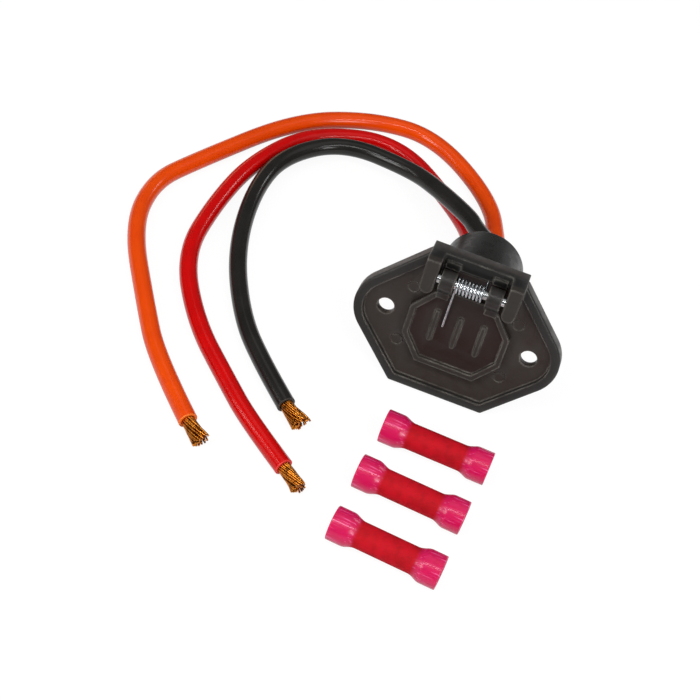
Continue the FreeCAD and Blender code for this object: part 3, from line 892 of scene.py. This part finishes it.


# Each lead's cut vinyl is a paler, matt copy of its jacket's: a painted highlight on the cut end's rim.
CUT_ROUGHNESS = 0.5
LEAD_PLANS = (
    LeadPlan(
        LeadColour.BLACK,
        ExtrudedVinyl("black_vinyl", "#211F1D", "#1B1A18"),
        ExtrudedVinyl("cut_black_vinyl_painted_highlight", "#3A3835", "#2E2C2A", CUT_ROUGHNESS),
        length=0.235, splay=0.10, lean_out=(-1.7, 0.9), seed=3, straight=6,
        points=(
            (-7.8, 59.3, 12.6), (-10.9, 63.5, 12.5), (-25.9, 75, 10), (-38.6, 84.4, 6.2),
            (-66.8, 89.2, 3.6), (-85.3, 72.4, 2.2), (-89.4, 50.8, 0.5), (-84.6, 19.3, 0),
            (-71.2, -10, 0), (-57, -27, 0), (-44.3, -39.5, 0),
        ),
    ),
    LeadPlan(
        LeadColour.RED,
        ExtrudedVinyl("red_vinyl", "#C40000", "#BA0000"),
        ExtrudedVinyl("cut_red_vinyl_painted_highlight", "#DE3A36", "#D22824", CUT_ROUGHNESS),
        length=0.293, splay=0.12, lean_out=(0.7, 0.0), seed=4, straight=20,
        points=(
            (-19.7, 80.7, 0), (-49, 103.7, 0), (-80.5, 91.3, 0), (-95.1, 64.7, 0),
            (-99.7, 37.1, 0), (-100, 8.3, 0), (-84.5, -19.5, 0), (-65.7, -38.9, 0),
            (-53.5, -51.1, 0), (-36.4, -64.1, 0),
        ),
    ),
    LeadPlan(
        LeadColour.ORANGE,
        ExtrudedVinyl("orange_vinyl", "#DF4700", "#DA4200"),
        ExtrudedVinyl("cut_orange_vinyl_painted_highlight", "#F07A28", "#E86818", CUT_ROUGHNESS),
        length=0.323, splay=0.05, lean_out=(-1.2, 0.7), seed=5, straight=9,
        points=(
            (1.8, 66.1, 1.3), (-7.1, 90.5, 0), (-35.9, 114, 0), (-61.1, 111.5, 0),
            (-88.4, 95.4, 0), (-114.3, 54.2, 0), (-123.6, 37, 0), (-121.6, 12.6, 0),
            (-102.4, -20.8, 0), (-90.5, -40.1, 0), (-71.1, -60.3, 0),
        ),
    ),
)


@dataclass(frozen=True)
class CutFace:
    """Where a lead's insulation ends: the middle of the cut and its direction."""

    middle: Vector
    along: Vector

    @property
    def across(self) -> Vector:
        """Level direction in the plane of the cut."""
        return self.along.cross(Vector((0, 0, 1))).normalized()

    @property
    def upwards(self) -> Vector:
        """Direction in the plane of the cut that points upwards."""
        return self.across.cross(self.along)


@dataclass
class Lead:
    """One insulated lead, from the wire seal to its bared strands.

    The strands are drawn thicker and fewer than real ones, which are too fine to show.
    """

    plan: LeadPlan
    copper: bpy.types.Material
    body: str = "receptacle"
    diameter: float = 6.5 * MM
    strip: float = 10 * MM
    lip_bore: float = 2.35 * MM
    lip_depth: float = 0.1 * MM
    lip_proud: float = 0.06 * MM
    lip_round: float = 0.16 * MM
    lip_steps: int = 48
    strand: float = 0.68 * MM
    rings: int = 4
    ring_pitch: float = 0.96
    lay: float = 44 * MM
    overlap: float = 0.4 * MM
    path_steps: int = 10
    turn_drift: float = 0.08
    reach_share: tuple[float, float] = (0.92, 1.03)
    looseness: tuple[float, float] = (0.6, 1.4)

    @property
    def name(self) -> str:
        """Colour of the lead, as the pieces' names have it."""
        return self.plan.colour.value

    @property
    def outermost(self) -> float:
        """Radius of the outermost ring of strands."""
        return (self.rings - 1) * self.strand * self.ring_pitch

    def route(self) -> list[Vector]:
        """Finds the corners of the lead's route.

        Returns:
            The points from the wire seal to the end of the insulation.
        """
        seal_back = upright_box("wire_seal")[1].y
        contact = ROW_TO_UPRIGHT @ Vector(mount("contact_bore_" + self.name)["pos_m"])
        start = Vector((contact.x, seal_back, contact.z))
        straight = Vector((0, self.plan.straight * MM, 0))
        lying = Vector((0, 0, TABLE + self.diameter / 2))
        corners = [UPRIGHT_TO_ROW @ start, UPRIGHT_TO_ROW @ (start + straight)]
        return corners + [lying + Vector(point) * MM for point in self.plan.points]

    def build(self) -> list[bpy.types.Object]:
        """Builds the lead with its cut end and strands.

        Returns:
            The new pieces.
        """
        corners = self.route()
        face = CutFace(corners[-1], (corners[-1] - corners[-2]).normalized())
        jacket = self.insulation(corners)
        lip = self.cut_end(face)
        strands = self.strands(face)
        return [jacket, lip, strands]

    def insulation(self, corners: list[Vector]) -> bpy.types.Object:
        """Lays the insulation along its route.

        Args:
            corners: Points of the route.

        Returns:
            The new piece.
        """
        name = "insulation_" + self.name
        curve = bpy.data.curves.new(name, "CURVE")
        curve.dimensions = "3D"
        curve.resolution_u = 14
        curve.bevel_depth = self.diameter / 2
        curve.bevel_resolution = 8
        curve.use_fill_caps = True
        line = curve.splines.new("NURBS")
        line.points.add(len(corners) - 1)
        for point, place in zip(line.points, corners):
            point.co = (*place, 1)
        line.order_u = 3
        line.use_endpoint_u = True
        curve.materials.append(self.plan.jacket.material())
        piece = bpy.data.objects.new(name, curve)
        bpy.context.scene.collection.objects.link(piece)
        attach(piece, self.body)
        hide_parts("lead_" + self.name)
        return piece

    def cut_end(self, face: CutFace) -> bpy.types.Object:
        """Turns the rounded lip where the insulation was cut and pulled off.

        Args:
            face: Where the insulation ends.

        Returns:
            The new piece.
        """
        outer = self.diameter / 2
        inner = self.lip_bore
        edge = self.lip_round
        profile = [(-self.lip_depth, outer), (-self.lip_depth, inner)]
        profile += arc((self.lip_proud, inner + edge), edge, -90, 0, 4)
        profile += arc((self.lip_proud, outer - edge), edge, 0, 90, 4)
        turn = face.along.to_track_quat("X", "Z").to_matrix().to_4x4()
        shape = spin_profile(profile, Matrix.Translation(face.middle) @ turn, self.lip_steps)
        smooth(shape)
        # Its paler vinyl paints the highlight that the rim catches.
        piece = new_piece("cut_end_" + self.name, shape, self.plan.cut.material())
        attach(piece, self.body)
        return piece

    def strand_path(
        self, face: CutFace, ring: float, first: float, reach: float, loose: float,
    ) -> list[Vector]:
        """Lays one strand, which twists round the bundle and strays towards its tip.

        Args:
            face: Where the insulation ends.
            ring: Radius of the strand's ring.
            first: Angle at which it leaves the insulation.
            reach: Its bare length.
            loose: How readily it strays.

        Returns:
            The points of its centre line.
        """
        lean = Vector(self.plan.lean_out) * MM
        path = []
        for step in range(self.path_steps + 1):
            share = step / self.path_steps
            turn = first + math.tau * reach * share / self.lay
            spread = ring * (1 + self.plan.splay * loose * share ** 2)
            side = Vector((math.cos(turn), math.sin(turn))) * ring / self.outermost
            pull = max(side.dot(lean), 0.0) / max(lean.length, MM)
            stray = lean * (share ** 1.6 * loose * pull)
            path.append(
                face.middle + face.along * (reach * share - self.overlap)
                + face.across * (spread * math.cos(turn) + stray.x)
                + face.upwards * (spread * math.sin(turn) + stray.y)
            )
        return path

    def strands(self, face: CutFace) -> bpy.types.Object:
        """Twists the strands, which open out towards their tips.

        Args:
            face: Where the insulation ends.

        Returns:
            The new piece.
        """
        chance = random.Random(self.plan.seed)
        bundle = bmesh.new()
        for layer in range(self.rings):
            count = max(6 * layer, 1)
            ring = self.outermost * layer / (self.rings - 1)
            for i in range(count):
                drift = chance.uniform(-self.turn_drift, self.turn_drift)
                first = math.tau * i / count + drift
                reach = self.strip * chance.uniform(*self.reach_share)
                loose = chance.uniform(*self.looseness)
                path = self.strand_path(face, ring, first, reach, loose)
                strand = tube_along(path, self.strand / 2, 2)
                mesh = bpy.data.meshes.new("strand")
                strand.to_mesh(mesh)
                strand.free()
                bundle.from_mesh(mesh)
                bpy.data.meshes.remove(mesh)
        piece = new_piece("strand_bundle_" + self.name, bundle, self.copper)
        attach(piece, self.body)
        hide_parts("strands_" + self.name)
        return piece


# ---- butt splices -------------------------------------------------------------------------------
@dataclass
class ButtSplice:
    """One loose butt splice: a flared vinyl sleeve over a metal tube.

    The sleeve widens to its flare between the rise's start and end.
    """

    number: int
    tin: bpy.types.Material
    tube_half: float = 10 * MM
    middle_radius: float = 4.5 * MM
    flare_radius: float = 5.75 * MM
    rise_start: float = 9.2 * MM
    rise_end: float = 13.5 * MM
    rise_steps: int = 10
    half_length: float = 18.8 * MM
    wall: float = 1.0 * MM
    lip: float = 0.35 * MM
    lip_gap: float = 0.05 * MM
    sleeve_steps: int = 80

    @property
    def body(self) -> str:
        """Name of the splice's own body."""
        return "splice_%d" % self.number

    def radius_at(self, x: float) -> float:
        """Gives the sleeve's outer radius.

        Args:
            x: Distance from its middle.

        Returns:
            The radius.
        """
        share = (abs(x) - self.rise_start) / (self.rise_end - self.rise_start)
        share = min(max(share, 0), 1)
        eased = share * share * (3 - 2 * share)
        return self.middle_radius + (self.flare_radius - self.middle_radius) * eased

    def stations(self) -> list[float]:
        """Chooses where the sleeve's outline has a point.

        Returns:
            Distances from its middle, from left to right.
        """
        start, steps = self.rise_start, self.rise_steps
        rise = [start + (self.rise_end - start) * i / steps for i in range(steps + 1)]
        flare_end = self.half_length - self.lip - self.lip_gap
        half = [*rise, (self.rise_end + flare_end) / 2, flare_end]
        return [-x for x in reversed(half)] + half

    def build(self) -> list[bpy.types.Object]:
        """Turns the sleeve and dresses its tube.

        Returns:
            The new pieces.
        """
        tube = mount(self.body + "_tube")
        centre = Vector(tube["pos_m"])
        turn = math.atan2(tube["axis"][1], tube["axis"][0])
        stations = self.stations()
        outer = [(x, self.radius_at(x)) for x in stations]
        inner = [(x, self.radius_at(x) - self.wall) for x in reversed(stations)]
        end = self.half_length
        lip = self.lip
        tip = self.flare_radius - lip
        root = self.flare_radius - self.wall + lip
        profile = (
            outer + arc((end - lip, tip), lip, 90, 0, 4) + arc((end - lip, root), lip, 0, -90, 4)
            + inner
            + arc((lip - end, root), lip, -90, -180, 4) + arc((lip - end, tip), lip, 180, 90, 4)
        )
        place = Matrix.Translation(centre) @ Matrix.Rotation(turn, 4, "Z")
        shape = spin_profile(profile, place, self.sleeve_steps)
        smooth(shape)
        vinyl = SpliceVinyl("dyed_vinyl_%d" % self.number, centre, turn, self.tube_half)
        piece = new_piece("splice_sleeve_shell_%d" % self.number, shape, vinyl.material())
        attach(piece, self.body)
        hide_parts("splice_sleeve_%d" % self.number)
        dress("splice_ferrule_%d" % self.number, self.tin)
        return [piece]


# ---- studio -------------------------------------------------------------------------------------
@dataclass(frozen=True)
class WhiteCard(Finish):
    """White card table: it looks white, also in a reflection, and keeps a faint shadow."""

    colour: str = "#BDBDBD"
    roughness: float = 0.8
    glow: float = 1.15
    glow_share: float = 0.80

    def shader(self, tree: bpy.types.NodeTree) -> bpy.types.Node:
        """Adds the finish's nodes.

        Args:
            tree: Node tree that gets them.

        Returns:
            The shader.
        """
        plain = {"Base Color": linear(self.colour), "Roughness": self.roughness}
        card = add_node(tree, "BsdfPrincipled", plain)
        glow = add_node(tree, "Emission", {"Color": linear("#FFFFFF"), "Strength": self.glow})
        ray = add_node(tree, "LightPath").outputs
        direct = add_node(
            tree, "Math", {"operation": "MAXIMUM"},
            {0: ray["Is Camera Ray"], 1: ray["Is Glossy Ray"]},
        )
        seen = add_node(tree, "Math", {"operation": "MULTIPLY", 1: self.glow_share}, {0: direct})
        return add_node(tree, "MixShader", None, {0: seen, 1: card, 2: glow})


@dataclass
class Softbox:
    """One soft lamp: where it stands, its size, its power, its colour and what it looks at."""

    name: str
    place: tuple[float, float, float]
    size: tuple[float, float]
    power: float
    colour: str = "#FFFFFF"
    aim: tuple[float, float, float] = (-0.04, 0.01, -0.01)

    def build(self) -> None:
        """Sets up the lamp."""
        lamp = bpy.data.lights.new(self.name, "AREA")
        lamp.shape = "RECTANGLE"
        lamp.size, lamp.size_y = self.size
        lamp.energy = self.power
        lamp.color = linear(self.colour)[:3]
        holder = bpy.data.objects.new(self.name, lamp)
        holder.location = self.place
        look = Vector(self.aim) - Vector(self.place)
        holder.rotation_euler = look.to_track_quat("-Z", "Y").to_euler()
        bpy.context.scene.collection.objects.link(holder)


@dataclass
class Studio:
    """White table, soft lamps and the camera."""

    table_side: float = 4.0
    table_gap: float = 0.05 * MM
    camera_place: tuple[float, float, float] = (0.01084, -0.39726, 0.41072)
    camera_azimuth: float = math.radians(6.32)
    camera_elevation: float = math.radians(47.76)
    camera_roll: float = math.radians(15.92)
    lens: float = 87.43
    sensor: float = 36
    nearest: float = 0.01
    surroundings: float = 0.15
    lamps: list[Softbox] = field(default_factory=lambda: [
        Softbox("left_softbox", (-0.56, -0.56, 0.43), (0.30, 0.30), 2.6),
        Softbox("right_softbox", (0.56, -0.56, 0.40), (0.30, 0.30), 3.2),
        Softbox("overhead_strip", (0.0, -0.38, 0.80), (1.6, 0.05), 5.4),
        Softbox("left_strip", (-0.85, -0.27, 0.45), (0.05, 0.6), 0.8),
        Softbox("overhead_fill", (0.0, 0.25, 0.90), (1.2, 0.5), 1.2),
        Softbox("right_back_card", (0.45, 0.60, 0.46), (0.14, 0.14), 0.6, aim=(0, -0.06, -0.02)),
        Softbox("back_card", (-0.60, 0.70, 0.12), (0.3, 0.2), 0.35, "#FFD0A8"),
    ])

    def build(self) -> None:
        """Sets up the table, lamps, world and camera."""
        self.table()
        for lamp in self.lamps:
            lamp.build()
        self.world()
        self.camera()

    def table(self) -> None:
        """Lays the table just under the lowest piece."""
        shape = bmesh.new()
        bmesh.ops.create_grid(shape, x_segments=1, y_segments=1, size=self.table_side / 2)
        bmesh.ops.translate(shape, verts=shape.verts, vec=(0, 0, TABLE - self.table_gap))
        new_piece("table_top", shape, WhiteCard("white_card").material())

    def world(self) -> None:
        """Surrounds the table with soft white."""
        world = bpy.data.worlds.new("surroundings")
        world.use_nodes = True
        tree = world.node_tree
        tree.nodes.clear()
        white = linear("#FFFFFF")
        seen = add_node(tree, "LightPath").outputs["Is Camera Ray"]
        dim = add_node(tree, "Background", {"Color": white, "Strength": self.surroundings})
        bright = add_node(tree, "Background", {"Color": white, "Strength": 1.0})
        both = add_node(tree, "MixShader", None, {0: seen, 1: dim, 2: bright})
        add_node(tree, "OutputWorld", None, {"Surface": both})
        bpy.context.scene.world = world

    def camera(self) -> None:
        """Sets the camera above the table, a little rolled."""
        lens = bpy.data.cameras.new("camera")
        lens.lens = self.lens
        lens.sensor_width = self.sensor
        lens.clip_start = self.nearest
        holder = bpy.data.objects.new("camera", lens)
        turn = (
            Matrix.Rotation(self.camera_azimuth, 3, "Z")
            @ Matrix.Rotation(math.pi / 2 - self.camera_elevation, 3, "X")
            @ Matrix.Rotation(self.camera_roll, 3, "Z")
        )
        holder.location = self.camera_place
        holder.rotation_euler = turn.to_euler()
        bpy.context.scene.collection.objects.link(holder)
        bpy.context.scene.camera = holder
        bpy.context.scene.view_settings.view_transform = "Standard"


def main() -> None:
    """Builds every piece and reports it."""
    logging.basicConfig(level=logging.INFO, format="%(message)s")
    finishes = Finishes()
    groups: list[Housing | SprungLid | Lead | ButtSplice] = [
        Housing(finishes), SprungLid(finishes),
    ]
    groups += [Lead(plan, finishes.copper) for plan in LEAD_PLANS]
    groups += [ButtSplice(number, finishes.tin) for number in (1, 2, 3)]
    for group in groups:
        for piece in group.build():
            log.info("%s: built", piece.name)
    Studio().build()


if __name__ == "__main__":
    main()
